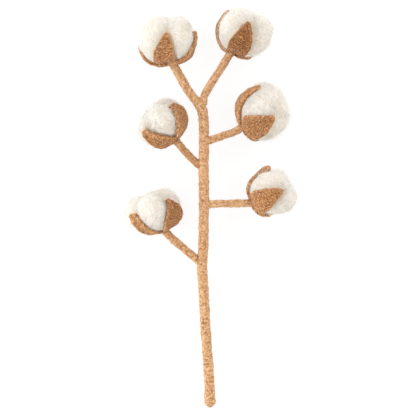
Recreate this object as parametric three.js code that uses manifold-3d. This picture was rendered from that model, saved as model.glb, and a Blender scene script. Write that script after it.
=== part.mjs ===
// A felt cotton stem, laid on its side: wool yarn wrapped on bent wire, with six bolls of felted wool
// that sit in bracts cut from thick sheet felt.
// Millimetres, +Z up. The stem runs along +Y from its cut end to the fork, and the bolls rest on z = 0.

import * as THREE from 'three';
import { mergeVertices } from 'three/addons/utils/BufferGeometryUtils.js';
import Module from 'manifold-3d';

const wasm = await Module();
wasm.setup();

// The middle of the finished outline, which is the origin
const MIDDLE_X = 0.1;
const MIDDLE_Y = -0.3;

// Clearances between pieces that lie against each other
const SEAT_GAP = 0.35;
const FELT_GAP = 0.6;
const WIRE_GAP = 0.3;

// Yarn wraps: the radius is the middle of the ridges that the turns of yarn make
const STEM_RADIUS = 4.85;
const STEM_SIDES = 10;
const BRANCH_A_RADIUS = 4.45;
const BRANCH_SIDES = 8;
const END_KNOB_RADIUS = 5.5;
const YARN_PITCH = 7;
const YARN_RELIEF = 0.35;
const RINGS_PER_TURN = 3;

// Wires inside the wraps
const STEM_WIRE_RADIUS = 1.2;
const BRANCH_WIRE_RADIUS = 0.8;
const WIRE_SIDES = 6;
const WIRE_END_GAP = 0.6;
const WIRE_STEP = 9;
const WIRE_INTO_BALL = 20;
const WIRE_BESIDE_STEM = 24;
const WIRE_OFFSET = STEM_WIRE_RADIUS + BRANCH_WIRE_RADIUS + WIRE_GAP;

// Wool balls: four lobes round the axis, each of three rounds run together, and a core between them
const LOBE_ROUNDS = [
  { along: -8, out: 10.5, radius: 13.4 },
  { along: 0, out: 15.5, radius: 14.2 },
  { along: 11, out: 13.5, radius: 14 },
];
const CORE_ROUNDS = [
  { along: -2, radius: 18.7 },
  { along: 5, radius: 16.5 },
];
const CREASE_SOFTNESS = 2;
const BALL_DETAIL = 4;

// Felt bracts
const FELT = 2.8;
const BRACT_SPAN = 24.3;
const BRACT_TIP_DIP = 2;
const NECK_ANGLE = 55;
const BRACT_TIP_HALF = 1.8;
const BRACT_FOOT_SHARE = 0.55;
const BRACT_WIDEST = 0.36;
const BRACT_FOOT_ANGLE = 11;
const BRACT_SIDE_GAP = 0.5;
const BRACT_ROWS = 7;
const BRACT_COLUMNS = 4;

// The stem's middle line from the cut end to the fork, and on along branch A
const STEM_ROUTE = [
  [-0.6, -200.3, 5.3],
  [-0.8, -188, 5.9],
  [-1.3, -172.5, 7.6],
  [-4.8, -122.5, 14.4],
  [-7.3, -77, 20.9],
  [-8.3, -57, 23.4],
  [-7.2, -40, 25.1],
  [-6.8, -15, 26.4],
  [-6.6, 22.5, 27],
  [-7, 42.5, 27],
  [-6.4, 57.5, 27],
  [-6.9, 88, 27],
  [-8.4, 98, 27],
  [-12.6, 105, 27],
  [-17.8, 111, 27.1],
  [-24.6, 121, 27.4],
  [-31, 132.5, 27.7],
  [-36.9, 143, 28],
  [-39.8, 150, 28],
];
const FORK_START_Y = 98;
const FORK_END_Y = 112;

// Each boll: its ball's centre, the way its axis points in degrees from +Y towards +X, and its size.
// Its long stretches the lobes forward, its girth draws them in to the axis, its softness rounds the
// creases, and its neck is how far the feet of its bracts stand off towards the branch.
// Each lobe has its own size, how far it sits towards +X and +Y, and how far its top leans towards +X.
// A bract's turn is the angle round the axis from straight up, towards the boll's right-hand side.
// It reaches from the angle foot to the angle tip, measured from the branch. Its left and right are half
// widths at its widest share of that length, blunt is half the width of its tip, and slim draws in its
// left side. Its lean is how far the tip swings round from the turn, its flare is how far its edges stand
// off the wool, and its lift is how far its tip does.
const BOLLS = [
  {
    name: 'a',
    centre: [-43, 166, 28],
    heading: -6,
    size: 1,
    lobes: [
      { size: 1.05, x: -1.5, top: 4 },
      { size: 0.93, x: 3.5, y: -0.5, top: -1 },
      { size: 0.98, x: 1 },
      { size: 1.02, x: -0.5, y: -1, top: 2 },
    ],
    neck: -3.5,
    bracts: [
      { place: 'front', turn: -13, foot: 30, tip: 111, left: 12.5, right: 10.5, lean: 12, widest: 0.24 },
      {
        place: 'right',
        turn: 82,
        tip: 105,
        left: 12,
        right: 12,
        lean: -3,
        flare: 0.8,
        lift: 2.6,
        blunt: 2.8,
      },
      { place: 'back', turn: 176, tip: 108, left: 12, right: 12 },
      { place: 'left', turn: -106, tip: 118, left: 12, right: 12, lean: 2 },
    ],
  },
  {
    name: 'b',
    centre: [33.3, 174, 27],
    heading: 28,
    size: 0.98,
    long: 0.85,
    lobes: [
      { size: 0.98, x: -1, y: -0.5 },
      { size: 0.97, y: 1.5 },
      { size: 0.97, x: -1.5, y: 3 },
      { size: 0.97, x: -0.8, y: -0.5 },
    ],
    neck: -3.5,
    branch: {
      radius: 3.75,
      from: [-7.2, 104, 27],
      route: [
        [-7, 109, 27],
        [-5.2, 114, 27.1],
        [-0.8, 122, 27.2],
        [9, 137.2, 27.2],
        [18.7, 152.5, 27],
        [23.7, 160, 27],
      ],
      wireSide: 1,
    },
    bracts: [
      {
        place: 'front',
        turn: 3,
        foot: 13,
        tip: 119,
        left: 10,
        right: 14.5,
        lean: -6,
        flare: 0.6,
        blunt: 3,
        slim: 1.6,
      },
      { place: 'right', turn: 150, tip: 97, left: 12, right: 12 },
      { place: 'back', turn: 210, tip: 108, left: 11, right: 11 },
      { place: 'left', turn: -95, tip: 120, left: 11, right: 10, lean: 3 },
    ],
  },
  {
    name: 'c',
    centre: [-49, 86, 24.3],
    heading: -43,
    size: 0.88,
    long: 0.8,
    lobes: [
      { size: 0.9, x: 3 },
      { size: 0.92, x: 1, y: -0.5 },
      { size: 0.92, x: 1, y: -2 },
      { size: 0.95, x: 0.5, y: -2 },
    ],
    branch: {
      radius: 3.6,
      from: [-7, 39, 27],
      route: [
        [-11.6, 42.9, 27],
        [-20.7, 51.4, 26.4],
        [-26.8, 58, 25.9],
        [-33.2, 65.5, 25.3],
        [-39.2, 72.5, 25],
      ],
      wireSide: -1,
    },
    bracts: [
      { place: 'right', turn: 58, tip: 106, left: 12, right: 16.5, lean: 6, flare: 1, blunt: 4 },
      { place: 'low_right', turn: 150, tip: 104, left: 11, right: 11 },
      { place: 'low_left', turn: 228, tip: 104, left: 11, right: 11 },
      {
        place: 'left',
        turn: -56,
        tip: 105,
        left: 8,
        right: 13,
        lean: -4,
        widest: 0.28,
        flare: 0.8,
        blunt: 2.4,
      },
    ],
  },
  {
    name: 'd',
    centre: [51.6, 96.1, 25],
    heading: 53,
    size: 0.87,
    long: 0.95,
    girth: 0.72,
    softness: 4,
    lobes: [
      { size: 1, x: 2, y: 3 },
      { size: 1.1, x: -1, y: -3 },
      { size: 1.08, x: 1, y: 0.5 },
      { size: 1.06, x: 1, y: 2 },
    ],
    neck: 2.5,
    branch: {
      radius: 3.7,
      from: [-6.6, 65.8, 27],
      route: [
        [-2.5, 67.2, 27],
        [3.5, 69.1, 26.8],
        [11.5, 71.8, 26.4],
        [19.5, 74.5, 25.9],
        [26, 77.2, 25.5],
        [34, 82.5, 25],
      ],
      wireSide: 1,
    },
    bracts: [
      {
        place: 'front',
        turn: 22,
        foot: 12,
        tip: 106,
        left: 16.5,
        right: 16,
        lean: 9,
        widest: 0.18,
        flare: 0.6,
      },
      { place: 'right', turn: 132, tip: 86, left: 9, right: 12 },
      { place: 'back', turn: 203, tip: 106, left: 12, right: 12 },
      { place: 'left', turn: -74, tip: 119, left: 9, right: 9, lean: 14, flare: 0.6, lift: 0.8 },
    ],
  },
  {
    name: 'e',
    centre: [-56, -2.9, 25.2],
    heading: -29,
    size: 0.87,
    long: 0.64,
    lobes: [
      { size: 1, y: -2 },
      { size: 0.99, x: 1.5, y: -1 },
      { size: 1.06, x: 0.5, y: -1 },
      { size: 1.05, x: -3, y: 1.5 },
    ],
    neck: -3,
    branch: {
      radius: 3.8,
      from: [-8, -58.5, 23.2],
      route: [
        [-11.8, -53.3, 23.8],
        [-21.8, -44.8, 24.4],
        [-35.8, -32.9, 25],
        [-44.5, -24.3, 25.2],
        [-49.5, -18.5, 25.2],
      ],
      wireSide: -1,
    },
    bracts: [
      { place: 'right', turn: 46, tip: 101, left: 11, right: 18, lean: 9, flare: 0.6, slim: 1.7 },
      { place: 'low_right', turn: 142, tip: 104, left: 11.5, right: 11.5 },
      { place: 'low_left', turn: 225, tip: 104, left: 11.5, right: 11.5 },
      { place: 'left', turn: -62, tip: 109, left: 5, right: 10, flare: 1, blunt: 2.4 },
    ],
  },
  {
    name: 'f',
    centre: [62.8, 12.8, 25.6],
    heading: 70,
    size: 0.9,
    long: 0.9,
    lobes: [
      { size: 0.96, x: -3, y: 0.5 },
      { size: 0.93, x: 0.5, y: 4.5 },
      { size: 0.97, x: -0.5, y: 1 },
      { size: 0.99, x: -1.5 },
    ],
    branch: {
      radius: 3.7,
      from: [-6.7, -0.5, 26.6],
      route: [
        [-2.5, 3, 26.6],
        [8, 4.2, 26.4],
        [25, 4.4, 26],
        [40, 4.9, 25.6],
        [46, 6.5, 25.6],
      ],
      wireSide: 1,
    },
    bracts: [
      {
        place: 'front',
        turn: 4,
        foot: 13,
        tip: 117,
        left: 12,
        right: 16,
        lean: -7,
        widest: 0.26,
        flare: 0.6,
        blunt: 2,
      },
      { place: 'right', turn: 134, tip: 86, left: 9, right: 12 },
      { place: 'back', turn: 202, tip: 106, left: 11.5, right: 11.5 },
      { place: 'left', turn: -95, tip: 105, left: 11.5, right: 11, flare: 1, lift: 3.5, blunt: 2.6 },
    ],
  },
];

const radians = THREE.MathUtils.degToRad;
const smoothstep = THREE.MathUtils.smoothstep;

// Materials
const wool = new THREE.MeshStandardMaterial({ color: '#f3ece0', roughness: 0.95, metalness: 0 });
const sheetFelt = new THREE.MeshStandardMaterial({ color: '#b8834f', roughness: 0.95, metalness: 0 });
const yarn = new THREE.MeshStandardMaterial({ color: '#c99a69', roughness: 0.9, metalness: 0 });
const wireSteel = new THREE.MeshStandardMaterial({ color: '#8e8f8c', roughness: 0.45, metalness: 1 });

// Solids for cutting, and back to a geometry
function solidOf(geometry) {
  const bare = geometry.clone();
  bare.deleteAttribute('normal');
  bare.deleteAttribute('uv');
  const merged = mergeVertices(bare, 1e-4);
  return new wasm.Manifold(
    new wasm.Mesh({
      numProp: 3,
      vertProperties: new Float32Array(merged.attributes.position.array),
      triVerts: new Uint32Array(merged.index.array),
    }),
  );
}

function geometryOf(solid) {
  const mesh = solid.getMesh();
  const geometry = new THREE.BufferGeometry();
  geometry.setAttribute('position', new THREE.BufferAttribute(mesh.vertProperties, 3));
  geometry.setIndex(new THREE.BufferAttribute(mesh.triVerts, 1));
  geometry.computeVertexNormals();
  return geometry;
}

function largestBody(solid) {
  const bodies = solid.decompose();
  bodies.sort((one, other) => other.volume() - one.volume());
  return bodies[0];
}

// Presses a piece flat where it rests on the surface
function pressedFlat(solid) {
  return solid.trimByPlane([0, 0, 1], 0);
}

function piece(name, solid, material) {
  const geometry = geometryOf(largestBody(solid)).translate(-MIDDLE_X, -MIDDLE_Y, 0);
  const mesh = new THREE.Mesh(geometry, material);
  mesh.name = name;
  return mesh;
}

function curveThrough(points) {
  return new THREE.CatmullRomCurve3(
    points.map((point) => new THREE.Vector3(...point)),
    false,
    'centripetal',
  );
}

// A plain round wire along a curve, or the channel that holds it
function wireAlong(curve, radius) {
  const section = new THREE.Shape();
  section.absarc(0, 0, radius, 0, Math.PI * 2);
  return solidOf(
    new THREE.ExtrudeGeometry(section, {
      curveSegments: WIRE_SIDES / 2,
      steps: Math.round(curve.getLength() / WIRE_STEP),
      extrudePath: curve,
      bevelEnabled: false,
    }),
  );
}

// A wire stops a little short of both ends of its channel
function wireWithin(curve, radius) {
  const startWay = curve.getTangentAt(0);
  const endWay = curve.getTangentAt(1).negate();
  return wireAlong(curve, radius)
    .trimByPlane(startWay.toArray(), startWay.dot(curve.getPointAt(0)) + WIRE_END_GAP)
    .trimByPlane(endWay.toArray(), endWay.dot(curve.getPointAt(1)) + WIRE_END_GAP);
}

// A run of yarn wound on a curve: a tube whose turns stand out as one long helical ridge
function yarnAlong(curve, sides, radiusAt, extra = 0) {
  const length = curve.getLength();
  const steps = Math.round((length / YARN_PITCH) * RINGS_PER_TURN);
  const section = new THREE.Shape();
  section.absarc(0, 0, 1, 0, Math.PI * 2);
  const tube = new THREE.ExtrudeGeometry(section, {
    curveSegments: sides / 2,
    steps,
    extrudePath: curve,
    bevelEnabled: false,
  });
  const centres = curve.getSpacedPoints(steps);
  const frames = curve.computeFrenetFrames(steps, false);
  const positions = tube.attributes.position;
  const corner = new THREE.Vector3();
  for (let i = 0; i < positions.count; i++) {
    corner.fromBufferAttribute(positions, i);
    let ring = 0;
    for (let k = 1; k <= steps; k++) {
      if (corner.distanceToSquared(centres[k]) < corner.distanceToSquared(centres[ring])) ring = k;
    }
    corner.sub(centres[ring]);
    const around = Math.atan2(corner.dot(frames.binormals[ring]), corner.dot(frames.normals[ring]));
    const turn = (2 * Math.PI * ring) / RINGS_PER_TURN - around;
    const ridge = YARN_RELIEF * Math.cos(turn);
    const radius = radiusAt(centres[ring], (length * ring) / steps) + ridge + extra;
    corner.multiplyScalar(radius).add(centres[ring]);
    positions.setXYZ(i, corner.x, corner.y, corner.z);
  }
  return solidOf(tube);
}

// The stem narrows a little into branch A, and swells to a round knob at its cut end
function stemRadius(centre, along) {
  const intoBranch = smoothstep(centre.y, FORK_START_Y, FORK_END_Y);
  const body = THREE.MathUtils.lerp(STEM_RADIUS, BRANCH_A_RADIUS, intoBranch);
  const knob = (END_KNOB_RADIUS - STEM_RADIUS) * (1 - smoothstep(along, 8, 22));
  const nose = Math.min(along / END_KNOB_RADIUS, 1);
  return (body + knob) * (0.5 + 0.5 * Math.sqrt(1 - (1 - nose) ** 2));
}

// The directions of a boll: along its axis, straight up, and towards its right-hand side
function frameOf(boll) {
  const heading = radians(boll.heading);
  const axis = new THREE.Vector3(Math.sin(heading), Math.cos(heading), 0);
  const up = new THREE.Vector3(0, 0, 1);
  const right = new THREE.Vector3().crossVectors(axis, up);
  return { axis, up, right, centre: new THREE.Vector3(...boll.centre) };
}

function directionAt(frame, fromBranch, turn) {
  const outward = frame.up.clone().multiplyScalar(Math.cos(turn));
  outward.addScaledVector(frame.right, Math.sin(turn));
  return outward.multiplyScalar(Math.sin(fromBranch)).addScaledVector(frame.axis, -Math.cos(fromBranch));
}

// The bracts' tips lie over the creases, so each lobe stands halfway between two of them
function lobeDirections(boll, frame) {
  const turns = boll.bracts.map((bract) => bract.turn + (bract.lean ?? 0)).sort((a, b) => a - b);
  return turns.map((turn, i) => {
    const next = i + 1 < turns.length ? turns[i + 1] : turns[0] + 360;
    return directionAt(frame, Math.PI / 2, radians((turn + next) / 2));
  });
}

// How far a ray from the boll's centre runs before it leaves a round, or 0 where it misses
function rayInRound(direction, middle, radius) {
  const along = direction.dot(middle);
  const inside = along ** 2 - middle.lengthSq() + radius ** 2;
  return inside > 0 ? Math.max(along + Math.sqrt(inside), 0) : 0;
}

// The larger of several reaches, rounded where they meet
function softLargest(reaches, softness) {
  const top = Math.max(...reaches);
  const sum = reaches.reduce((total, reach) => total + Math.exp((reach - top) / softness), 0);
  return top + softness * Math.log(sum);
}

function woolReach(boll, frame) {
  const rounds = CORE_ROUNDS.map(({ along, radius }) => ({
    middle: frame.axis.clone().multiplyScalar(along * boll.size),
    radius: radius * boll.size,
  }));
  const topmost = LOBE_ROUNDS[LOBE_ROUNDS.length - 1].along;
  lobeDirections(boll, frame).forEach((outward, i) => {
    const lobe = boll.lobes[i];
    const scale = boll.size * lobe.size;
    for (const { along, out, radius } of LOBE_ROUNDS) {
      const forward = along > 0 ? along * (boll.long ?? 1) : along;
      const leaning = ((lobe.top ?? 0) * Math.max(along, 0)) / topmost;
      const middle = outward.clone().multiplyScalar(out * scale * (boll.girth ?? 1));
      middle.addScaledVector(frame.axis, forward * scale);
      middle.x += (lobe.x ?? 0) + leaning;
      middle.y += lobe.y ?? 0;
      rounds.push({ middle, radius: radius * scale });
    }
  });
  return (direction) => {
    const reaches = rounds.map(({ middle, radius }) => rayInRound(direction, middle, radius));
    return softLargest(reaches, boll.softness ?? CREASE_SOFTNESS);
  };
}

function ballSolid(frame, reach, extra = 0) {
  const ball = new THREE.IcosahedronGeometry(1, BALL_DETAIL);
  const positions = ball.attributes.position;
  const direction = new THREE.Vector3();
  for (let i = 0; i < positions.count; i++) {
    direction.fromBufferAttribute(positions, i).normalize();
    const point = direction.clone().multiplyScalar(reach(direction) + extra).add(frame.centre);
    positions.setXYZ(i, point.x, point.y, point.z);
  }
  return solidOf(ball);
}

// Half a bract's width from its foot to its tip: broad low down, then in to a blunt point
function bractHalfWidth(bract, leftSide, along) {
  const full = leftSide ? bract.left : bract.right;
  const slim = leftSide ? (bract.slim ?? 1) : 1;
  const widest = bract.widest ?? BRACT_WIDEST;
  const blunt = bract.blunt ?? BRACT_TIP_HALF;
  if (along < widest) {
    const rise = Math.sin(((along / widest) * Math.PI) / 2);
    return full * (BRACT_FOOT_SHARE + (1 - BRACT_FOOT_SHARE) * rise);
  }
  const toTip = (1 - along) / (1 - widest);
  return blunt + (full - blunt) * Math.sin((toTip * Math.PI) / 2) ** slim;
}

// How far round each side of a bract may reach before it meets its neighbour
function roomBeside(boll, bract) {
  const others = boll.bracts.filter((other) => other !== bract);
  const away = others.map((other) => THREE.MathUtils.euclideanModulo(other.turn - bract.turn, 360));
  return { right: radians(Math.min(...away)) / 2, left: radians(360 - Math.max(...away)) / 2 };
}

// A bract is a slab of felt laid over the wool: across its width, along its length and through its thickness
function bractSolid(boll, frame, reach, bract) {
  const slab = new THREE.BoxGeometry(2, 1, 1, BRACT_COLUMNS, BRACT_ROWS, 1);
  const foot = radians(bract.foot ?? BRACT_FOOT_ANGLE);
  const tip = radians(bract.tip);
  const room = roomBeside(boll, bract);
  const positions = slab.attributes.position;
  for (let i = 0; i < positions.count; i++) {
    const across = positions.getX(i);
    const along = positions.getY(i) + 0.5;
    const outer = positions.getZ(i) > 0;
    const fromBranch = foot + (tip - foot) * along;
    const latitude = boll.size * (BRACT_SPAN + FELT) * Math.sin(fromBranch);
    const limit = (across < 0 ? room.left : room.right) - BRACT_SIDE_GAP / latitude;
    const half = Math.min((boll.size * bractHalfWidth(bract, across < 0, along)) / latitude, limit);
    const turn = radians(bract.turn + (bract.lean ?? 0) * smoothstep(along, 0.2, 1)) + half * across;
    const direction = directionAt(frame, fromBranch, turn);
    const stand = (bract.flare ?? 0) * across ** 2 * Math.sin(Math.PI * along);
    const neck = (boll.neck ?? 0) * (1 - smoothstep(fromBranch, 0, radians(NECK_ANGLE)));
    const lift = (bract.lift ?? 0) * smoothstep(along, 0.6, 1);
    const span = boll.size * (BRACT_SPAN - BRACT_TIP_DIP * smoothstep(along, 0.55, 1)) + neck;
    const inner = softLargest([reach(direction), span], 0.6) + FELT_GAP + stand + lift;
    const point = direction.multiplyScalar(inner + (outer ? FELT : 0)).add(frame.centre);
    positions.setXYZ(i, point.x, point.y, point.z);
  }
  return solidOf(slab);
}

// A branch wire leaves its ball, follows its branch, and turns down beside the stem wire
function branchWireCurve(boll, frame, stemCurve) {
  const { from, route, wireSide } = boll.branch;
  const beside = [];
  for (const down of [WIRE_BESIDE_STEM, WIRE_BESIDE_STEM / 2, 5]) {
    const y = from[1] - down;
    const onStem = stemPointAt(stemCurve, y);
    beside.push([onStem.x + wireSide * WIRE_OFFSET, y, onStem.z]);
  }
  const inBall = frame.centre.clone().addScaledVector(frame.axis, WIRE_INTO_BALL - 25 * boll.size);
  return curveThrough([...beside, ...route, inBall.toArray()]);
}

// The point of the stem's middle line at a given y
function stemPointAt(stemCurve, y) {
  let low = 0;
  let high = 1;
  for (let i = 0; i < 30; i++) {
    const middle = (low + high) / 2;
    if (stemCurve.getPointAt(middle).y < y) low = middle;
    else high = middle;
  }
  return stemCurve.getPointAt(low);
}

// The bolls and their branches
const stem = new THREE.Group();
const stemCurve = curveThrough(STEM_ROUTE);
const stemCutter = yarnAlong(stemCurve, STEM_SIDES, stemRadius, SEAT_GAP);
const wireChannels = [];

for (const boll of BOLLS) {
  const frame = frameOf(boll);
  const reach = woolReach(boll, frame);
  const ballCutter = ballSolid(frame, reach, SEAT_GAP);
  const inBall = frame.centre.clone().addScaledVector(frame.axis, WIRE_INTO_BALL - 25 * boll.size);
  let wireCurve = curveThrough([...STEM_ROUTE.slice(1), inBall.toArray()]);
  let wrapCutter = stemCutter;
  let wireRadius = STEM_WIRE_RADIUS;
  if (boll.branch) {
    const { radius, from, route } = boll.branch;
    const branchCurve = curveThrough([from, ...route]);
    wireCurve = branchWireCurve(boll, frame, stemCurve);
    wireRadius = BRANCH_WIRE_RADIUS;
    wrapCutter = yarnAlong(branchCurve, BRANCH_SIDES, () => radius, SEAT_GAP);
    const wrap = yarnAlong(branchCurve, BRANCH_SIDES, () => radius)
      .subtract(stemCutter)
      .subtract(ballCutter)
      .subtract(wireAlong(wireCurve, wireRadius + WIRE_GAP));
    stem.add(piece(`branch_${boll.name}_yarn`, wrap, yarn));
  }
  const channel = wireAlong(wireCurve, wireRadius + WIRE_GAP);
  wireChannels.push(channel);
  const wireName = boll.branch ? `branch_${boll.name}_wire` : 'stem_wire';
  stem.add(piece(wireName, wireWithin(wireCurve, wireRadius), wireSteel));
  const ball = pressedFlat(ballSolid(frame, reach).subtract(channel));
  stem.add(piece(`boll_${boll.name}_wool`, ball, wool));
  for (const bract of boll.bracts) {
    const leaf = bractSolid(boll, frame, reach, bract).subtract(wrapCutter).subtract(ballCutter);
    stem.add(piece(`boll_${boll.name}_bract_${bract.place}`, pressedFlat(leaf), sheetFelt));
  }
}

// The stem's own wrap, round all the wires and up to ball A
const ballA = BOLLS[0];
const frameA = frameOf(ballA);
const cutterA = ballSolid(frameA, woolReach(ballA, frameA), SEAT_GAP);
let stemWrap = pressedFlat(yarnAlong(stemCurve, STEM_SIDES, stemRadius)).subtract(cutterA);
for (const channel of wireChannels) {
  stemWrap = stemWrap.subtract(channel);
}
stem.add(piece('stem_yarn', stemWrap, yarn));

export default stem;
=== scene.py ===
import random
from math import acos, atan2, copysign, cos, exp, log, pi, radians, sin, sqrt

import bmesh
import bpy
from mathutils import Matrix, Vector, noise


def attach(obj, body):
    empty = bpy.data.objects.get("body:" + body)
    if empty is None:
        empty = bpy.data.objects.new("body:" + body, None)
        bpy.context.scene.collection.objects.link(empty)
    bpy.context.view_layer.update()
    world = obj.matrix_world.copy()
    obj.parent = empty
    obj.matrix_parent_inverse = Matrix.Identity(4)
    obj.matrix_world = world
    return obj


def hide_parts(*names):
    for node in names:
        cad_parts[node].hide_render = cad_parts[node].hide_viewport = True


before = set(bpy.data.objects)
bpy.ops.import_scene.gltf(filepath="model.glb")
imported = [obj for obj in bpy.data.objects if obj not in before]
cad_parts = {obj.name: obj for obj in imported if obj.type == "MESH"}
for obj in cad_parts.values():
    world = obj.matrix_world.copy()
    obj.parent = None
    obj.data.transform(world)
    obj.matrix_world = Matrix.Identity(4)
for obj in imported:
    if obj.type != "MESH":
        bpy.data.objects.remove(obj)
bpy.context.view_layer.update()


# The six balls are cream-white wool, needle-felted over a soft core into four lobes each. Fine loose
# fibres stand off them as a faint halo, and the creases between the lobes carry painted shade, a
# little darker and warmer than the rest. Each is pushed onto the end of its branch wire.

# Lengths are in millimetres and angles in degrees. MIDDLE is the place that goes to the origin.
MM = 0.001
MIDDLE = Vector((0.1, -0.3, 0))

# A ball has its centre and the heading of its branch, clockwise from +Y. Each lobe has its scale,
# how far it is pushed to the right and ahead, and how far its top is pushed to the right. A ball may
# be "long" along its branch, have more or less "girth", a "base" pushed up from the branch, or a
# "neck" that draws the feet of its bracts in or out. "softness" is how far its lobes run together
# and "wisps" how many fibres stand off it, where they aren't the usual.
#
# A bract sits at a turn round its branch, 0 on top. It runs from its foot to its tip, both angles
# from the branch, and leans over by some degrees towards the tip. "left" and "right" are its half
# widths, "widest" is how far along it is widest, "wide_foot" the share of the width at its foot,
# "blunt" half the width of its tip, and a "slim" side is hollowed towards the tip. Its sides flare
# and its tip lifts off the wool, or it is sunk into it. "pale" makes its whole felt lighter or
# darker, and "thick" how thick it is where that isn't the usual.
BOLLS = {
    "a": {
        "centre": (-43, 166, 28), "heading": -6, "neck": -5.5, "base": 1.8,
        "lobes": ((1.05, -1.5, 0, 4), (0.93, 3.5, -0.5, -1), (0.98, 1, 0, 0), (1.02, -0.5, -1, 2)),
        "bracts": {
            "front": {"turn": -13, "foot": 24, "tip": 109, "left": 13, "right": 11.5, "lean": 12,
                      "widest": 0.2, "wide_foot": 0.85, "sunk": 1.6, "pale": -0.3},
            "right": {"turn": 82, "tip": 105, "left": 12, "right": 12, "lean": -3, "blunt": 2.8,
                      "flare": 0.8, "lift": 2.6},
            "back": {"turn": 176, "tip": 108, "left": 12, "right": 12},
            "left": {"turn": -102, "tip": 111, "left": 12, "right": 12, "lean": 1,
                     "flare": 1.2, "lift": 1.4},
        },
    },
    "b": {
        "centre": (33.3, 174, 27), "heading": 28, "size": 0.98, "long": 0.85, "neck": -3.5,
        "lobes": ((0.98, -1, -0.5, 0), (0.97, 0, 1.5, 0), (0.97, -1.5, 3, 0), (0.97, -0.8, -0.5, 0)),
        "bracts": {
            "front": {"turn": 2, "foot": 13, "tip": 120, "left": 10, "right": 15.5, "lean": -3,
                      "blunt": 2.6, "slim_left": 1.5, "flare": 0.6, "sunk": 1.6, "pale": -2.2},
            "right": {"turn": 150, "tip": 97, "left": 12, "right": 12},
            "back": {"turn": 210, "tip": 108, "left": 11, "right": 11},
            "left": {"turn": -95, "tip": 120, "left": 11, "right": 10, "lean": 3, "thick": 2.3},
        },
    },
    "c": {
        "centre": (-49, 86, 24.3), "heading": -43, "size": 0.88, "long": 0.8,
        "lobes": ((0.9, 3, 0, 0), (0.92, 1, -0.5, 0), (0.92, 1, -2, 0), (0.95, 0.5, -2, 0)),
        "bracts": {
            "right": {"turn": 58, "tip": 106, "left": 14.5, "right": 17.5, "lean": 6, "blunt": 4,
                      "flare": 1, "pale": -0.3},
            "low_right": {"turn": 150, "tip": 104, "left": 11, "right": 11},
            "low_left": {"turn": 228, "tip": 104, "left": 11, "right": 11},
            "left": {"turn": -56, "tip": 105, "left": 8, "right": 13, "lean": -4, "widest": 0.28,
                     "blunt": 2.4, "flare": 0.8, "pale": -0.4},
        },
    },
    "d": {
        "centre": (51.6, 96.1, 25), "heading": 53, "size": 0.87, "long": 0.95, "girth": 0.72,
        "neck": 2.5, "softness": 4, "wisps": 1300,
        "lobes": ((1, 2, 3, 0), (1.1, -1, -3, 0), (1.08, 1, 0.5, 0), (1.06, 1, 2, 0)),
        "bracts": {
            "front": {"turn": 22, "foot": 9, "tip": 106, "left": 17.5, "right": 17, "lean": 9,
                      "widest": 0.18, "wide_foot": 0.7, "flare": 0.6, "sunk": 1.6, "pale": -0.4},
            "right": {"turn": 132, "tip": 86, "left": 9, "right": 12},
            "back": {"turn": 203, "tip": 106, "left": 12, "right": 12},
            "left": {"turn": -76, "tip": 119, "left": 8.5, "right": 8, "lean": 14,
                     "flare": 0.6, "lift": 0.4},
        },
    },
    "e": {
        "centre": (-56, -2.9, 25.2), "heading": -29, "size": 0.87, "long": 0.64, "neck": -3,
        "lobes": ((1, 0, -2, 0), (0.99, 1.5, -1, 0), (1.06, 0.5, -1, 0), (1.05, -3, 1.5, 0)),
        "bracts": {
            "right": {"turn": 46, "tip": 101, "left": 14.5, "right": 18, "lean": 9,
                      "slim_left": 1.3, "slim_right": 1.6, "flare": 0.6, "pale": -1.2},
            "low_right": {"turn": 142, "tip": 104, "left": 11.5, "right": 11.5},
            "low_left": {"turn": 225, "tip": 104, "left": 11.5, "right": 11.5},
            "left": {"turn": -62, "tip": 109, "left": 5, "right": 10, "blunt": 2.4, "flare": 1},
        },
    },
    "f": {
        "centre": (62.8, 12.8, 25.6), "heading": 70, "size": 0.9, "long": 0.9,
        "lobes": ((0.96, -3, 0.5, 0), (0.93, 0.5, 4.5, 0), (0.97, -0.5, 1, 0), (0.99, -1.5, 0, 0)),
        "bracts": {
            "front": {"turn": 4, "foot": 13, "tip": 121, "left": 13, "right": 17.5, "lean": -7,
                      "widest": 0.26, "blunt": 1.6, "slim_right": 1.25, "flare": 0.6, "sunk": 1.6,
                      "pale": 0.1},
            "right": {"turn": 134, "tip": 86, "left": 9, "right": 12},
            "back": {"turn": 202, "tip": 106, "left": 11.5, "right": 11.5},
            "left": {"turn": -95, "tip": 105, "left": 11.5, "right": 11, "blunt": 2.6,
                     "flare": 1, "lift": 3.5},
        },
    },
}

# A lobe is three rounds: how far along the axis, how far out from it, and the radius. The core is
# two rounds on the axis itself. A place is in a crease where two lobes reach it nearly equally.
LOBE_ROUNDS = ((-8, 10.5, 13.4), (0, 15.5, 14.2), (11, 13.5, 14))
CORE_ROUNDS = ((-2, 18.7), (5, 16.5))
CREASE_SOFTNESS = 2
CREASE_MARGIN = 1.6

# Unevenness, here and further on, is given as waves: how high, and how fine
WOOL_LUMPS = ((0.2, 6), (0.25, 16))

# What the wool needs to know of the bracts, which tinge it with their fibres and with painted warm
# shade and bounce light. Their span is how far out from the ball's centre they lie.
BRACT_SPAN = 24.3
BRACT_TIP_HALF = 1.8
BRACT_FOOT_SHARE = 0.55
BRACT_WIDEST = 0.36
FOOT_ANGLE = 11
LEAN_START = 0.2
TINGE_REACH = 4

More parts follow.
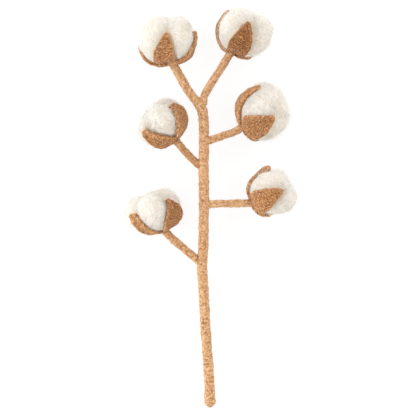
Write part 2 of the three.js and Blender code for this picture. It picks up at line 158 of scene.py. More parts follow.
# Strands lie on a ball and wisps stand off it. The other values are how any fibre curls, rises,
# tilts and tapers, how deep its root is, and how close to the surface it may come.
STRANDS_PER_BALL = 3200
STRAND = {"length": 8, "lift": 0.7, "width": 0.3, "bends": 4, "lying": 0.9, "finish": 1}
WISPS_PER_BALL = 700
WISP = {"length": 8, "lift": 4, "width": 0.3, "bends": 4, "lying": 0.6, "finish": 2}
FULLY_TINGED = 0.95
FIBRE_CURL = (0.6, 4)
FIBRE_LENGTHS = (0.5, 1.3)
FIBRE_RISES = 1.5
FIBRE_BOW = 1.3
FIBRE_TILT = 0.7
FIBRE_TAPER = 0.6
FIBRE_ROOT = 0.08
FIBRE_LOWEST = 0.1
RESTING_HEIGHT = 0.4


class Tone:
    """A value in a finish. Python's own sums on it add Math nodes."""

    def __init__(self, finish, socket):
        self.finish = finish
        self.socket = socket

    def sums(self, operation, *terms):
        return self.finish.node("ShaderNodeMath", {"operation": operation}, dict(enumerate(terms)))

    def __add__(self, other):
        return self.sums("ADD", self, other)

    __radd__ = __add__

    def __sub__(self, other):
        return self.sums("SUBTRACT", self, other)

    def __rsub__(self, other):
        return self.sums("SUBTRACT", other, self)

    def __mul__(self, other):
        return self.sums("MULTIPLY", self, other)

    __rmul__ = __mul__

    def size(self):
        return self.sums("ABSOLUTE", self)

    def between(self, low, high):
        """0 up to low, 1 from high, and smooth in between"""
        settings = {"interpolation_type": "SMOOTHSTEP"}
        return self.finish.node("ShaderNodeMapRange", settings, {0: self, 1: low, 2: high})


class Finish:
    """A material of one piece's surface"""

    def __init__(self, name, **constants):
        self.material = bpy.data.materials.new(name)
        self.material.use_nodes = True
        self.tree = self.material.node_tree
        self.shader = self.tree.nodes["Principled BSDF"]
        for socket, value in constants.items():
            self.shader.inputs[socket.replace("_", " ")].default_value = value
        self.place = self.node("ShaderNodeTexCoord", {}, {}, "Object")

    def node(self, kind, settings, sockets, output=0):
        """Adds a node with its settings and the values or links of its sockets"""
        made = self.tree.nodes.new(kind)
        for name, value in settings.items():
            if name == "stops":
                self.set_stops(made.color_ramp.elements, value)
            else:
                setattr(made, name, value)
        for name, value in sockets.items():
            if isinstance(value, Tone):
                self.tree.links.new(value.socket, made.inputs[name])
            else:
                made.inputs[name].default_value = value
        return Tone(self, made.outputs[output])

    def set_stops(self, elements, stops):
        for i, (position, colour) in enumerate(stops):
            stop = elements[i] if i < len(elements) else elements.new(position)
            stop.position = position
            stop.color = (*colour, 1)

    def mix(self, factor, one, other):
        """A colour between two. A Mix node has them at 6 and 7, and its colour comes out at 2."""
        one = one if isinstance(one, Tone) else (*one, 1)
        other = other if isinstance(other, Tone) else (*other, 1)
        return self.node("ShaderNodeMix", {"data_type": "RGBA"}, {0: factor, 6: one, 7: other}, 2)

    def grain(self, size, detail, distortion=0.0):
        """Noise whose spots are about that many millimetres across"""
        sockets = {"Vector": self.place, "Scale": 1 / (size * MM), "Detail": detail,
                   "Roughness": 0.6, "Distortion": distortion}
        return self.node("ShaderNodeTexNoise", {}, sockets)

    def mark(self, name):
        """A number that the mesh carries at each vertex"""
        return self.node("ShaderNodeAttribute", {"attribute_name": name}, {}, "Fac")

    def dress(self, colour, roughness, relief, depth, strength):
        """Sets the colour and roughness, and raises the relief by a depth in millimetres"""
        self.tree.links.new(colour.socket, self.shader.inputs["Base Color"])
        self.tree.links.new(roughness.socket, self.shader.inputs["Roughness"])
        sockets = {"Height": relief, "Distance": depth * MM, "Strength": strength}
        bump = self.node("ShaderNodeBump", {}, sockets)
        self.tree.links.new(bump.socket, self.shader.inputs["Normal"])
        return self.material


def fibre_finish(name, one, other, tones=None):
    """Loose fibres in two colours, each fibre by its own tone or, without tones, in patches"""
    finish = Finish(name, Specular_IOR_Level=0.1)
    shade = finish.grain(2, detail=2)
    share = finish.mark("tone").between(*tones) if tones else shade.between(0.4, 0.6)
    colour = finish.mix(share, one, other)
    return finish.dress(colour, 0.8 + shade * 0.2, shade, depth=0.05, strength=0.3)


def smoothstep(x, low, high):
    t = min(max((x - low) / (high - low), 0), 1)
    return t * t * (3 - 2 * t)


def soft_largest(reaches, softness):
    top = max(reaches)
    return top + softness * log(sum(exp((reach - top) / softness) for reach in reaches))


def uneven(place, waves):
    return sum(height * noise.noise(place * fineness) for height, fineness in waves)


def directions(boll):
    """The boll's axis, straight up, and its right-hand side"""
    heading = radians(boll["heading"])
    axis = Vector((sin(heading), cos(heading), 0))
    up = Vector((0, 0, 1))
    return axis, up, axis.cross(up)


def direction_at(boll, from_branch, turn):
    """The way out of the boll's centre at an angle from its branch and a turn round it"""
    axis, up, right = directions(boll)
    outward = up * cos(turn) + right * sin(turn)
    return outward * sin(from_branch) - axis * cos(from_branch)


def lobes_of(boll):
    """Each lobe as its rounds, and the core as the last: (middle, radius) from the ball's centre.
    The lobes swell out halfway between the bracts."""
    axis = directions(boll)[0]
    size = boll.get("size", 1)
    base = boll.get("base", 0)
    turns = sorted(cut["turn"] + cut.get("lean", 0) for cut in boll["bracts"].values())
    top_round = LOBE_ROUNDS[-1][0]
    lobes = []
    for i, turn in enumerate(turns):
        following = turns[i + 1] if i + 1 < len(turns) else turns[0] + 360
        outward = direction_at(boll, pi / 2, radians((turn + following) / 2))
        scale, right, ahead, top = boll["lobes"][i]
        scale *= size
        rounds = []
        for along, out, radius in LOBE_ROUNDS:
            forward = along * boll.get("long", 1) if along > 0 else along + base
            middle = outward * (out * scale * boll.get("girth", 1)) + axis * (forward * scale)
            middle += Vector((right + top * max(along, 0) / top_round, ahead, 0))
            rounds.append((middle, radius * scale))
        lobes.append(rounds)
    core = [(along + (base if along < 0 else 0), radius) for along, radius in CORE_ROUNDS]
    lobes.append([(axis * (along * size), radius * size) for along, radius in core])
    return lobes


def ray_in_round(direction, middle, radius):
    """How far a ray from the ball's centre runs until it leaves a round"""
    along = direction.dot(middle)
    inside = along ** 2 - middle.length_squared + radius ** 2
    return max(along + sqrt(inside), 0) if inside > 0 else 0


def wool_reach(lobes, direction, softness):
    """How far the wool reaches that way, and how deep in a crease the place lies, from 0 to 1"""
    each = [[ray_in_round(direction, *r) for r in rounds] for rounds in lobes]
    reach = soft_largest([r for rounds in each for r in rounds], softness)
    tallest = sorted(max(rounds) for rounds in each)
    return reach, exp(-((tallest[-1] - tallest[-2]) / CREASE_MARGIN) ** 2)


def marks(bm, *names):
    """Makes the numbers that each vertex of a mesh will carry for its finish"""
    return [bm.verts.layers.float.new(name) for name in names]


def open_faces(bm):
    """The faces that don't lie on the surface"""
    return [f for f in bm.faces if f.calc_center_median().z > RESTING_HEIGHT * MM]


def fibre_path(face, rng, length, lift, width, bends, lying):
    """The course of one curled fibre from a face, as its places and half widths"""
    shares = [rng.random() for _ in face.verts]
    root = sum((v.co * s for v, s in zip(face.verts, shares)), Vector()) / sum(shares)
    way = Vector((rng.gauss(0, 1), rng.gauss(0, 1), rng.gauss(0, 1)))
    way = (way - face.normal * way.dot(face.normal)).normalized()
    side = face.normal.cross(way)
    curl = rng.uniform(*FIBRE_CURL) * rng.choice((-1, 1))
    reach = length * rng.uniform(*FIBRE_LENGTHS) * MM
    rise = lift * rng.random() ** FIBRE_RISES * MM
    down = rng.random() < lying
    tilt = rng.uniform(-FIBRE_TILT, FIBRE_TILT)
    path = []
    for k in range(bends + 1):
        t = k / bends
        height = rise * (sin(pi * t) if down else t ** FIBRE_BOW) - FIBRE_ROOT * MM
        spot = root + (way * sin(curl * t) + side * (1 - cos(curl * t))) * (reach / curl)
        ahead = way * cos(curl * t) + side * sin(curl * t)
        half = (face.normal.cross(ahead) + face.normal * tilt).normalized() * (width * MM / 2)
        path.append((spot + face.normal * height, half * (1 - FIBRE_TAPER * t)))
    return path


def loose_fibres(bm, faces, rng, count, length, lift, width, bends, lying, finish):
    """Grows curled fibres on some faces as thin ribbons, in one of the piece's finishes.
    The lying share of them comes back down to the surface at its end. Each has its own tone."""
    tone = bm.verts.layers.float["tone"]
    weights = [f.calc_area() for f in faces]
    fibres = [fibre_path(face, rng, length, lift, width, bends, lying)
              for face in rng.choices(faces, weights, k=count)]
    ends = [[bm.verts.new(path[0][0] + path[0][1] * turn) for turn in (1, -1)] for path in fibres]
    edges = [bm.edges.new(pair) for pair in ends]
    for pair in ends:
        pair[0][tone] = pair[1][tone] = rng.random()
    for k in range(1, bends + 1):
        bmesh.ops.extrude_edge_only(bm, edges=edges)
        for i, path in enumerate(fibres):
            edge = edges[i]
            old = ends[i]
            face = edge.link_faces[-1]
            face.material_index = finish
            sides = [next(e for e in v.link_edges if e in face.edges and e != edge) for v in old]
            new = [e.other_vert(v) for e, v in zip(sides, old)]
            for v, start, turn in zip(new, old, (1, -1)):
                v[tone] = start[tone]
                v.co = path[k][0] + path[k][1] * turn
                v.co.z = max(v.co.z, FIBRE_LOWEST * MM)
            ends[i] = new
            edges[i] = next(e for e in face.edges if e.verts[0] in new and e.verts[1] in new)


def piece(name, bm, materials, slot, *nodes):
    """Makes one object of the stem from a mesh, in the place of its solid"""
    mesh = bpy.data.meshes.new(name)
    bm.to_mesh(mesh)
    bm.free()
    mesh.polygons.foreach_set("use_smooth", [True] * len(mesh.polygons))
    for material in materials:
        mesh.materials.append(material)
    thing = bpy.data.objects.new(name, mesh)
    bpy.context.scene.collection.objects.link(thing)
    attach(thing, "root")
    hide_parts(*nodes)


wool = Finish("wool_felt", Sheen_Weight=0.5, Sheen_Roughness=0.4, Subsurface_Weight=0.85,
              Subsurface_Radius=(1, 0.85, 0.7), Subsurface_Scale=0.02, Specular_IOR_Level=0.1)
cloud = wool.grain(8, detail=2)
tangle = wool.grain(1.9, detail=2, distortion=2)
fuzz = wool.grain(1.1, detail=2, distortion=2)
pores = (tangle - 0.5).size().between(0.01, 0.06) * (fuzz - 0.5).size().between(0.01, 0.06)
# Painted shade: the creases are darker and warmer, and a random cloud adds some real warm tone
crease_shade_and_tone = wool.mark("crease") * 0.7 + cloud.between(0.35, 0.7) * 0.15
wool_colour = wool.mix(crease_shade_and_tone, (0.98, 0.975, 0.965), (0.98, 0.88, 0.74))
wool_colour = wool.mix(pores, wool_colour, (0.75, 0.63, 0.48))
# Beside the bracts the wool takes the felt's tan fibres and a painted warm shade and bounce light
wool_colour = wool.mix(wool.mark("felt_tinge_and_shade") * (fuzz + 0.2), wool_colour, (0.94, 0.78, 0.58))
wool_relief = tangle * 0.5 - pores
wool_felt = wool.dress(wool_colour, 0.82 + tangle * 0.2, wool_relief, depth=0.5, strength=0.8)
wool_fibre = fibre_finish("wool_fibre", (0.98, 0.975, 0.96), (0.58, 0.48, 0.36), tones=(0.7, 0.9))
wool_wisp = fibre_finish("wool_wisp", (0.92, 0.89, 0.85), (0.66, 0.56, 0.45))


def bract_half_width(boll, cut, along, right_side):
    """Half a bract's width that far from its foot to its tip, from 0 to 1"""
    full = cut["right"] if right_side else cut["left"]
    widest = cut.get("widest", BRACT_WIDEST)
    if along < widest:
        at_foot = cut.get("wide_foot", BRACT_FOOT_SHARE)
        half = full * (at_foot + (1 - at_foot) * sin(along / widest * pi / 2))
    else:
        slim = cut.get("slim_right" if right_side else "slim_left", 1)
        blunt = cut.get("blunt", BRACT_TIP_HALF)
        half = blunt + (full - blunt) * sin((1 - along) / (1 - widest) * pi / 2) ** slim
    return half * boll.get("size", 1)


def bract_turn(cut, along):
    """The turn of a bract's middle line round its branch, that far from its foot to its tip"""
    return radians(cut["turn"] + cut.get("lean", 0) * smoothstep(along, LEAN_START, 1))


def near_bract(boll, cut, way):
    """How much the wool that way takes a bract's fibres and painted warm shade: 1 beside it, 0 out of
    reach
    """
    axis, up, right = directions(boll)
    from_branch = acos(min(max(-way.dot(axis), -1), 1))
    foot = radians(cut.get("foot", FOOT_ANGLE))
    along = (from_branch - foot) / (radians(cut["tip"]) - foot)
    inside_length = min(max(along, 0), 1)
    turn = bract_turn(cut, inside_length)
    across = (atan2(way.dot(right), way.dot(up)) - turn + pi) % (2 * pi) - pi
    beyond_side = abs(across) * sin(from_branch) * BRACT_SPAN
    beyond_side -= bract_half_width(boll, cut, inside_length, across > 0)
    beyond_end = abs(along - inside_length) * BRACT_SPAN
    return 1 - smoothstep(max(beyond_side, 0) + beyond_end, 0, TINGE_REACH)


def wool_ball(name, boll):
    rng = random.Random("wool " + name)
    lobes = lobes_of(boll)
    softness = boll.get("softness", CREASE_SOFTNESS)
    centre = Vector(boll["centre"]) - MIDDLE
    bm = bmesh.new()
    crease, felt_tinge_and_shade, _ = marks(bm, "crease", "felt_tinge_and_shade", "tone")
    bmesh.ops.create_icosphere(bm, subdivisions=6, radius=1)
    for v in bm.verts:
        way = v.co.normalized()
        reach, depth = wool_reach(lobes, way, softness)
        reach += uneven(way, WOOL_LUMPS)
        v[crease] = depth * CREASE_SOFTNESS / softness
        v[felt_tinge_and_shade] = max(near_bract(boll, cut, way) for cut in boll["bracts"].values())
        v.co = (centre + way * reach) * MM
        v.co.z = max(v.co.z, 0)
    bm.normal_update()
    bare = [f for f in open_faces(bm) if f.verts[0][felt_tinge_and_shade] < FULLY_TINGED]
    loose_fibres(bm, bare, rng, STRANDS_PER_BALL, **STRAND)
    loose_fibres(bm, bare, rng, boll.get("wisps", WISPS_PER_BALL), **WISP)
    node = "boll_" + name
    piece(node + "_felted_wool", bm, (wool_felt, wool_fibre, wool_wisp), "wool", node + "_wool")


for name, boll in BOLLS.items():
    wool_ball(name, boll)


# The bracts are pointed leaves cut from thick brown sheet felt, four to a boll. Each is glued at its
# foot round the branch and curves up over the creases of the wool. The cut edges are rounded and
# carry a painted highlight, a little lighter than the face, and the middle of each leaf a painted
# shade.

FELT = 3
FELT_GAP = 0.2
BRACT_GRID = (27, 39, 3)
BRACT_SIDE_GAP = 0.2
LEAST_ROUND = 0.1
EDGE_ROUND = 0.95
TIP_ROUND = 0.9

# How a bract sits on the wool: it is pressed in at its inner side, and its tip dips or lifts
NECK_ANGLE = radians(55)
SEAT_SOFTNESS = 0.6
PRESSED_IN = 1
PRESSED_SIDE = (-0.2, 1.2)
TIP_DIP = 2
DIP_START = 0.55
LIFT_START = 0.6

# Its unevenness, its edges and its fibres
EDGE_WAVES = ((0.7, 0.3), (0.45, 0.8))
OTHER_SIDE = 30
DENT = 0.5
DENTS_ON_WOOL = 4
DENTS_IN_FELT = 0.5
RIM_WIDTH = 6
INNER_SIDE = (-0.6, 0.8)
FIBRES_PER_BRACT = 700
FELT_FIBRE = {"length": 2.4, "lift": 0.7, "width": 0.22, "bends": 2, "lying": 0.5, "finish": 1}

felt = Finish("sheet_felt", Sheen_Weight=0.1, Sheen_Roughness=0.5, Specular_IOR_Level=0.15,
              Subsurface_Weight=0.4, Subsurface_Radius=(1, 0.45, 0.2), Subsurface_Scale=0.004)
heather = felt.grain(1.35, detail=2, distortion=0.8)
blotch = felt.grain(5, detail=2, distortion=0.6)
thread = felt.grain(0.8, detail=2, distortion=1.5)
rim_highlight = felt.mark("rim_highlight")
# Painted highlight: the felt is lighter along its rounded cut edges
lightness = heather * 0.5 + thread * 0.5 + felt.mark("pale") * 0.018 + rim_highlight.between(0.5, 0.95) * 0.026
felt_stops = [(0.41, (0.10, 0.032, 0.008)), (0.465, (0.26, 0.107, 0.037)),
              (0.528, (0.455, 0.216, 0.09)), (0.59, (0.75, 0.45, 0.228)), (0.65, (0.94, 0.64, 0.37))]
felt_colour = felt.node("ShaderNodeValToRGB", {"stops": felt_stops}, {0: lightness})
# The felt's dark blotches, deeper towards the middle of the leaf as painted shade and fainter at the
# rim
blotch_with_middle_shade = blotch.between(0.45, 0.6) * (0.3 - rim_highlight * 0.2)
felt_colour = felt.mix(blotch_with_middle_shade, felt_colour, (0.25, 0.11, 0.04))
shaded_inside = felt.mark("inside") * heather.between(0.62, 0.4)
felt_colour = felt.mix(shaded_inside, felt_colour, (0.20, 0.08, 0.025))
felt_relief = heather + thread * 0.5
sheet_felt = felt.dress(felt_colour, 0.85 + thread * 0.15, felt_relief, depth=0.8, strength=0.9)
felt_fibre = fibre_finish("felt_fibre", (0.13, 0.05, 0.016), (0.62, 0.36, 0.175), tones=(0.2, 0.6))


def rounded(x, y, z, half, length, half_thick):
    """Draws a point of a slab in to its rounded outer edge, and tells how near the edge it lies"""
    r = min(EDGE_ROUND * half_thick, TIP_ROUND * half)
    cx = min(max(x, r - half), half - r)
    cy = min(max(y, r), length - r)
    cz = min(z, half_thick - r)
    off = Vector((x - cx, y - cy, z - cz))
    m = max(abs(off.x), abs(off.y), abs(off.z))
    if m > 0:
        off *= m / off.length
    near_edge = 1 - min(half - abs(x), length - y) / RIM_WIDTH
    return cx + off.x, cy + off.y, cz + off.z, max(near_edge, 0)


def bract(name, boll, place, cut):
    rng = random.Random("felt " + name + place)
    seed = 100 * rng.random()
    lobes = lobes_of(boll)
    centre = Vector(boll["centre"]) - MIDDLE
    size = boll.get("size", 1)
    softness = boll.get("softness", CREASE_SOFTNESS)
    foot = radians(cut.get("foot", FOOT_ANGLE))
    tip = radians(cut["tip"])
    length = (tip - foot) * size * BRACT_SPAN
    thick = cut.get("thick", FELT)
    others = [(o["turn"] - cut["turn"]) % 360 for p, o in boll["bracts"].items() if p != place]
    room = {1: radians(min(others)) / 2, -1: radians(360 - max(others)) / 2}
    bm = bmesh.new()
    at_rim_highlight, at_inside, paleness, _ = marks(bm, "rim_highlight", "inside", "pale", "tone")
    bmesh.ops.create_cube(bm, size=2)
    for axis, cuts in enumerate(BRACT_GRID):
        along_axis = [e for e in bm.edges if abs((e.verts[0].co - e.verts[1].co)[axis]) > 1]
        bmesh.ops.subdivide_edges(bm, edges=along_axis, cuts=cuts, use_grid_fill=True)
    for v in bm.verts:
        # The grid's lines lie closer together towards the cut edges
        across, along, through = v.co
        across = 0.4 * across + 0.6 * sin(across * pi / 2)
        along = 0.5 + 0.5 * (0.5 * along + 0.5 * sin(along * pi / 2))

        # The flat leaf, kept clear of its neighbours
        latitude = size * (BRACT_SPAN + FELT) * max(sin(foot + (tip - foot) * along), LEAST_ROUND)
        half = bract_half_width(boll, cut, along, across > 0)
        half = min(half, (room[1 if across > 0 else -1] * latitude - BRACT_SIDE_GAP))
        half += uneven(Vector((along * length, copysign(OTHER_SIDE, across), seed)), EDGE_WAVES)
        x, y, z = across * half, along * length, through * thick / 2
        x, y, z, v[at_rim_highlight] = rounded(x, y, z, half, length, thick / 2)
        v[at_inside] = smoothstep(-z, *INNER_SIDE)
        v[paleness] = cut.get("pale", 0)

        # The leaf bent round the wool
        along = y / length
        from_branch = foot + (tip - foot) * along
        way = direction_at(boll, from_branch, bract_turn(cut, along) + x / latitude)
        neck = boll.get("neck", 0) * (1 - smoothstep(from_branch, 0, NECK_ANGLE))
        span = size * (BRACT_SPAN - TIP_DIP * smoothstep(along, DIP_START, 1)) + neck
        reach = wool_reach(lobes, way, softness)[0]
        inner = soft_largest([reach, span], SEAT_SOFTNESS) + FELT_GAP
        flare = cut.get("flare", 0) * (x / half) ** 2 * sin(pi * min(max(along, 0), 1))
        lift = cut.get("lift", 0) * smoothstep(along, LIFT_START, 1)
        stand_off = (flare + lift) * (0.5 + z / thick) - cut.get("sunk", 0)
        stand_off -= PRESSED_IN * smoothstep(-z, *PRESSED_SIDE)
        felted = Vector((x, y, z + seed))
        dent = DENT * noise.noise(way * DENTS_ON_WOOL + centre)
        dent += DENT * noise.noise(felted * DENTS_IN_FELT)
        v.co = (centre + way * (inner + thick / 2 + z + dent + stand_off)) * MM
        v.co.z = max(v.co.z, 0)
    bmesh.ops.recalc_face_normals(bm, faces=bm.faces)
    loose_fibres(bm, open_faces(bm), rng, FIBRES_PER_BRACT, **FELT_FIBRE)
    node = "boll_" + name + "_bract_" + place
    piece(node + "_felt", bm, (sheet_felt, felt_fibre), "sheet_felt", node)


for name, boll in BOLLS.items():
    for place, cut in boll["bracts"].items():
        bract(name, boll, place, cut)


# The stem and its branches are wound with soft tan wool yarn in close, uneven turns. The long run
# goes from a rounded end up the stem and on into branch A. Each other branch has a run of its own.

# A pass of the yarn has its pitch, its radius, how far it stands over the run's radius, and its hand
YARN_PASSES = ((1.7, 1.4, 0.1, 1), (6, 0.8, 0.15, -1))
TURN_POINTS = 16
STEP = 0.5
CURVE_POINTS = 40
AHEAD_POINTS = 3
STEM_ROUTE = (
    (-0.6, -200.3, 5.3), (-0.8, -188, 5.9), (-1.3, -172.5, 7.6), (-4.8, -122.5, 14.4),
    (-7.3, -77, 20.9), (-8.3, -57, 23.4), (-7.2, -40, 25.1), (-6.8, -15, 26.4), (-6.6, 22.5, 27),
    (-7, 42.5, 27), (-6.4, 57.5, 27), (-6.9, 88, 27), (-8.4, 98, 27), (-12.6, 105, 27),
    (-17.8, 111, 27.1), (-24.6, 121, 27.4), (-31, 132.5, 27.7), (-36.9, 143, 28), (-39.8, 150, 28),
)
BRANCHES = {
    "b": {"radius": 4, "dark": 0, "route": (
        (-7.2, 104, 27), (-7, 109, 27), (-5.2, 114, 27.1), (-0.8, 122, 27.2), (9, 137.2, 27.2),
        (18.7, 152.5, 27), (23.7, 160, 27))},
    "c": {"radius": 3.8, "dark": 1.6, "route": (
        (-7, 39, 27), (-11.6, 42.9, 27), (-20.7, 51.4, 26.4), (-26.8, 58, 25.9),
        (-33.2, 65.5, 25.3), (-39.2, 72.5, 25))},
    "d": {"radius": 3.9, "dark": 0, "route": (
        (-6.6, 65.8, 27), (-2.5, 67.2, 27), (3.5, 69.1, 26.8), (11.5, 71.8, 26.4),
        (19.5, 74.5, 25.9), (26, 77.2, 25.5), (34, 82.5, 25))},
    "e": {"radius": 4, "dark": 0.6, "route": (
        (-8, -58.5, 23.2), (-11.8, -53.3, 23.8), (-21.8, -44.8, 24.4), (-35.8, -32.9, 25),
        (-44.5, -24.3, 25.2), (-49.5, -18.5, 25.2))},
    "f": {"radius": 3.9, "dark": 0, "route": (
        (-6.7, -0.5, 26.6), (-2.5, 3, 26.6), (8, 4.2, 26.4), (25, 4.4, 26), (40, 4.9, 25.6),
        (46, 6.5, 25.6))},
}
STEM_RADIUS = 5.15
BRANCH_A_RADIUS = 4.45
BRANCH_A_START = (98, 112)
END_KNOB_RADIUS = 5.8
END_KNOB_NECK = (8, 22)
END_FLAT = 0.25
STEM_SEED = 3
BRANCH_SEED = 11

# How much, and how quickly round its turns, the yarn gets thick and thin and its pitch wavers
THICK_AND_THIN = (0.35, 0.21)
WAVERING = (0.5, 0.13)
YARN_LUMPS = ((0.7, 1), (0.3, 2.3))
LUMPS_ROUND = 1.3
LUMPS_ALONG = 0.3
ROUGH_HEIGHT = 0.4
ROUGH_SIZE = 1.3

# The filled middle lies under the yarn. It takes some points of the line and stops short of its ends.
MIDDLE_BELOW = 1.1
MIDDLE_STRIDE = 6
MIDDLE_ENDS = 4

FIBRES_PER_MM = 26
YARN_FIBRE = {"length": 2.6, "lift": 0.9, "width": 0.2, "bends": 2, "lying": 0.5, "finish": 1}

yarn = Finish("wool_yarn", Sheen_Weight=0.1, Sheen_Roughness=0.5, Specular_IOR_Level=0.12)
streak = yarn.grain(1, detail=3, distortion=1.4)
patch = yarn.grain(7, detail=2, distortion=0.5)
lint = yarn.grain(2.2, detail=2, distortion=0.8)
lightness = streak * 0.4 + lint * 0.6 - yarn.mark("dark") * 0.04
yarn_stops = [(0.4, (0.31, 0.132, 0.048)), (0.5, (0.585, 0.335, 0.17)), (0.6, (0.78, 0.54, 0.33))]
yarn_colour = yarn.node("ShaderNodeValToRGB", {"stops": yarn_stops}, {0: lightness})
yarn_colour = yarn.mix(patch.between(0.35, 0.7) * 0.35, yarn_colour, (0.58, 0.335, 0.18))
yarn_relief = streak + lint * 0.5
wool_yarn = yarn.dress(yarn_colour, 0.85 + streak * 0.15, yarn_relief, depth=0.6, strength=0.8)
yarn_fibre = fibre_finish("yarn_fibre", (0.40, 0.20, 0.09), (0.86, 0.64, 0.43), tones=(0.2, 0.8))


def smooth_route(points):
    """Points evenly along a centripetal curve through the route"""
    knots = [Vector(p) for p in points]
    knots = [2 * knots[0] - knots[1], *knots, 2 * knots[-1] - knots[-2]]
    dense = []
    for i in range(1, len(knots) - 2):
        p = knots[i - 1:i + 3]
        t = [0.0]
        for one, other in zip(p, p[1:]):
            t.append(t[-1] + sqrt((other - one).length))
        for k in range(CURVE_POINTS):
            u = t[1] + (t[2] - t[1]) * k / CURVE_POINTS
            a = [p[j] + (p[j + 1] - p[j]) * ((u - t[j]) / (t[j + 1] - t[j])) for j in range(3)]
            b = [a[j] + (a[j + 1] - a[j]) * ((u - t[j]) / (t[j + 2] - t[j])) for j in range(2)]
            dense.append(b[0] + (b[1] - b[0]) * ((u - t[1]) / (t[2] - t[1])))
    dense.append(knots[-2])
    even = [dense[0]]
    for point in dense[1:]:
        while (point - even[-1]).length >= STEP:
            even.append(even[-1] + (point - even[-1]).normalized() * STEP)
    return even


def add_run(curve, places, radii):
    run = curve.splines.new("POLY")
    run.points.add(len(places) - 1)
    run.points.foreach_set("co", [c for p in places for c in (*p, 1)])
    run.points.foreach_set("radius", radii)


def wind(curve, line, full, radius_at, seed, pitch, strand, over, hand):
    """Winds one pass of the yarn round a line, thick and thin and at a wavering pitch"""
    last = len(line) - 1
    places = []
    radii = []
    turn = 0.0
    along = 0.0
    while along < full:
        i = min(int(along / STEP), last - 1)
        here = line[i].lerp(line[i + 1], along / STEP - i)
        nearby = line[max(i - AHEAD_POINTS, 0)], line[min(i + AHEAD_POINTS, last)]
        ahead = (nearby[1] - nearby[0]).normalized()
        side = ahead.cross(Vector((0, 0, 1))).normalized()
        up = side.cross(ahead)
        swelling = noise.noise(Vector((turn * THICK_AND_THIN[1], seed, pitch)))
        thick = strand * (1 + THICK_AND_THIN[0] * swelling)
        around = Vector((LUMPS_ROUND * cos(turn), LUMPS_ROUND * sin(turn) * hand,
                         along * LUMPS_ALONG + seed))
        out = radius_at(here, along, full) + over - thick + uneven(around, YARN_LUMPS)
        places.append((here - MIDDLE + (side * cos(turn) + up * sin(turn) * hand) * out) * MM)
        radii.append(thick)
        turn += 2 * pi / TURN_POINTS
        waver = noise.noise(Vector((turn * WAVERING[1], 9, seed)))
        along += pitch / TURN_POINTS * (1 + WAVERING[0] * waver)
    add_run(curve, places, radii)


def wound_yarn(run, node, route, radius_at, seed, darkness):
    """Winds the yarn round a route, over a filled middle that closes the gaps between its turns"""
    rng = random.Random(seed)
    line = smooth_route(route)
    full = (len(line) - 1) * STEP
    curve = bpy.data.curves.new(run, "CURVE")
    curve.dimensions = "3D"
    curve.bevel_depth = MM
    curve.bevel_resolution = 2
    curve.use_fill_caps = True
    for yarn_pass in YARN_PASSES:
        wind(curve, line, full, radius_at, seed, *yarn_pass)
    middle = line[MIDDLE_ENDS:-MIDDLE_ENDS:MIDDLE_STRIDE]
    alongs = [(MIDDLE_ENDS + MIDDLE_STRIDE * k) * STEP for k in range(len(middle))]
    radii = [radius_at(p, along, full) - MIDDLE_BELOW for p, along in zip(middle, alongs)]
    add_run(curve, [(p - MIDDLE) * MM for p in middle], radii)
    holder = bpy.data.objects.new(run, curve)
    wound = bpy.data.meshes.new_from_object(holder)
    bpy.data.objects.remove(holder)
    bm = bmesh.new()
    bm.from_mesh(wound)
    bpy.data.meshes.remove(wound)
    bm.normal_update()
    dark, _ = marks(bm, "dark", "tone")
    for v in bm.verts:
        v[dark] = darkness
        v.co += v.normal * ROUGH_HEIGHT * MM * noise.noise(v.co / (ROUGH_SIZE * MM))
        v.co.z = max(v.co.z, 0)
    bm.normal_update()
    loose_fibres(bm, open_faces(bm), rng, int(full * FIBRES_PER_MM), **YARN_FIBRE)
    piece(run, bm, (wool_yarn, yarn_fibre), "yarn", node)


def stem_radius(here, along, full):
    """The stem's radius: rounded at its end, with a knob there, and slimmer in branch A"""
    into_branch = smoothstep(here.y, *BRANCH_A_START)
    body = STEM_RADIUS + (BRANCH_A_RADIUS - STEM_RADIUS) * into_branch
    knob = (END_KNOB_RADIUS - STEM_RADIUS) * (1 - smoothstep(along, *END_KNOB_NECK))
    nose = min(along / END_KNOB_RADIUS, 1)
    return (body + knob) * (END_FLAT + (1 - END_FLAT) * sqrt(1 - (1 - nose) ** 2))


wound_yarn("stem_wound_yarn", "stem_yarn", STEM_ROUTE, stem_radius, STEM_SEED, 0)
for i, (name, branch) in enumerate(BRANCHES.items()):
    wound_yarn("branch_" + name + "_wound_yarn", "branch_" + name + "_yarn", branch["route"],
               lambda here, along, full: branch["radius"], BRANCH_SEED + i, branch["dark"])


# The wires are plain drawn steel, a thick one in the stem and a thin one in each side branch. They
# lie inside the yarn and the balls, and hold the stem's shape.

steel = Finish("drawn_steel", Metallic=1.0)
draw_marks = steel.grain(0.4, detail=2)
steel_colour = steel.mix(draw_marks, (0.42, 0.42, 0.41), (0.56, 0.56, 0.55))
steel_gloss = 0.35 + draw_marks * 0.25
drawn_steel = steel.dress(steel_colour, steel_gloss, draw_marks, depth=0.02, strength=0.3)
for node in ["stem_wire"] + ["branch_" + name + "_wire" for name in BRANCHES]:
    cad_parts[node].data.materials.clear()
    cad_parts[node].data.materials.append(drawn_steel)


# The stem lies on a plain white table top. A large soft window lights it from the left and a weaker
# fill from the upper right, in a white light tent that is brighter at its sides than overhead.

TABLE_SIZE = 3
LIGHT_AIM = Vector((0, 0.05, 0.03))
TENT_OVERHEAD = (0.15, -0.2, 0.97)
TENT_BRIGHT = (2.37, 2.42, 2.47)
TENT_DIM = (0.5, 0.44, 0.35)

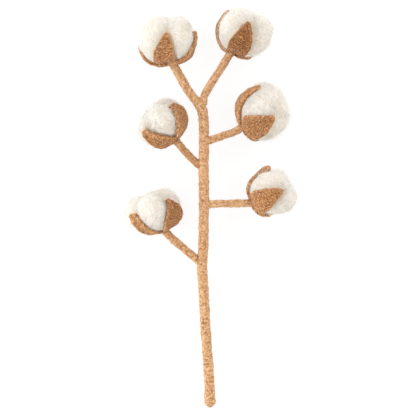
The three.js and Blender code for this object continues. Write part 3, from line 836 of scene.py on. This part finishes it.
table = Finish("white_table", Emission_Color=(1, 1, 1, 1), Emission_Strength=0.87)
paper = table.grain(3, detail=2)
table_colour = table.mix(paper, (0.12, 0.12, 0.12), (0.13, 0.13, 0.13))
white_table = table.dress(table_colour, 0.8 + paper * 0.1, paper, depth=0.02, strength=0.2)
bm = bmesh.new()
bmesh.ops.create_grid(bm, x_segments=1, y_segments=1, size=TABLE_SIZE)
mesh = bpy.data.meshes.new("table_top")
bm.to_mesh(mesh)
bm.free()
mesh.materials.append(white_table)
top = bpy.data.objects.new("table_top", mesh)
bpy.context.scene.collection.objects.link(top)


def soft_light(name, place, size, energy, colour):
    light = bpy.data.lights.new(name, "AREA")
    light.shape = "SQUARE"
    light.size = size
    light.energy = energy
    light.color = colour
    lamp = bpy.data.objects.new(name, light)
    lamp.location = place
    lamp.rotation_euler = (LIGHT_AIM - Vector(place)).to_track_quat("-Z", "Y").to_euler()
    bpy.context.scene.collection.objects.link(lamp)


soft_light("window", (-1.1, -0.35, 0.7), size=0.8, energy=8, colour=(1, 0.995, 0.985))
soft_light("fill", (1, 0.6, 0.8), size=1.2, energy=4.8, colour=(1, 0.95, 0.89))

# Inputs 9 and 10 of a Map Range node for vectors are what its lowest and highest values turn into
world = bpy.data.worlds.new("light_tent")
world.use_nodes = True
tent = world.node_tree.nodes
ways = tent.new("ShaderNodeTexCoord")
towards_dim = tent.new("ShaderNodeVectorMath")
towards_dim.operation = "DOT_PRODUCT"
towards_dim.inputs[1].default_value = TENT_OVERHEAD
glow = tent.new("ShaderNodeMapRange")
glow.data_type = "FLOAT_VECTOR"
glow.inputs[9].default_value = TENT_BRIGHT
glow.inputs[10].default_value = TENT_DIM
world.node_tree.links.new(ways.outputs["Generated"], towards_dim.inputs[0])
world.node_tree.links.new(towards_dim.outputs["Value"], glow.inputs["Vector"])
world.node_tree.links.new(glow.outputs["Vector"], tent["Background"].inputs[0])
bpy.context.scene.world = world
bpy.context.scene.view_settings.view_transform = "Standard"


# The camera looks straight down on the stem from a good distance, and its frame is as wide as the
# photograph's at the height of the stem's middle.

FRAME_WIDTH = 0.416
VIEW_MIDDLE = Vector((-0.0026, 0.0002, 0.027))
VIEW_DISTANCE = 2.2
SENSOR_WIDTH = 36
FARTHEST = 20

camera_data = bpy.data.cameras.new("camera")
camera_data.sensor_width = SENSOR_WIDTH
camera_data.lens = SENSOR_WIDTH * VIEW_DISTANCE / FRAME_WIDTH
camera_data.clip_end = FARTHEST
camera = bpy.data.objects.new("camera", camera_data)
camera.location = VIEW_MIDDLE + Vector((0, 0, VIEW_DISTANCE))
bpy.context.scene.collection.objects.link(camera)
bpy.context.scene.camera = camera

bpy.context.view_layer.update()
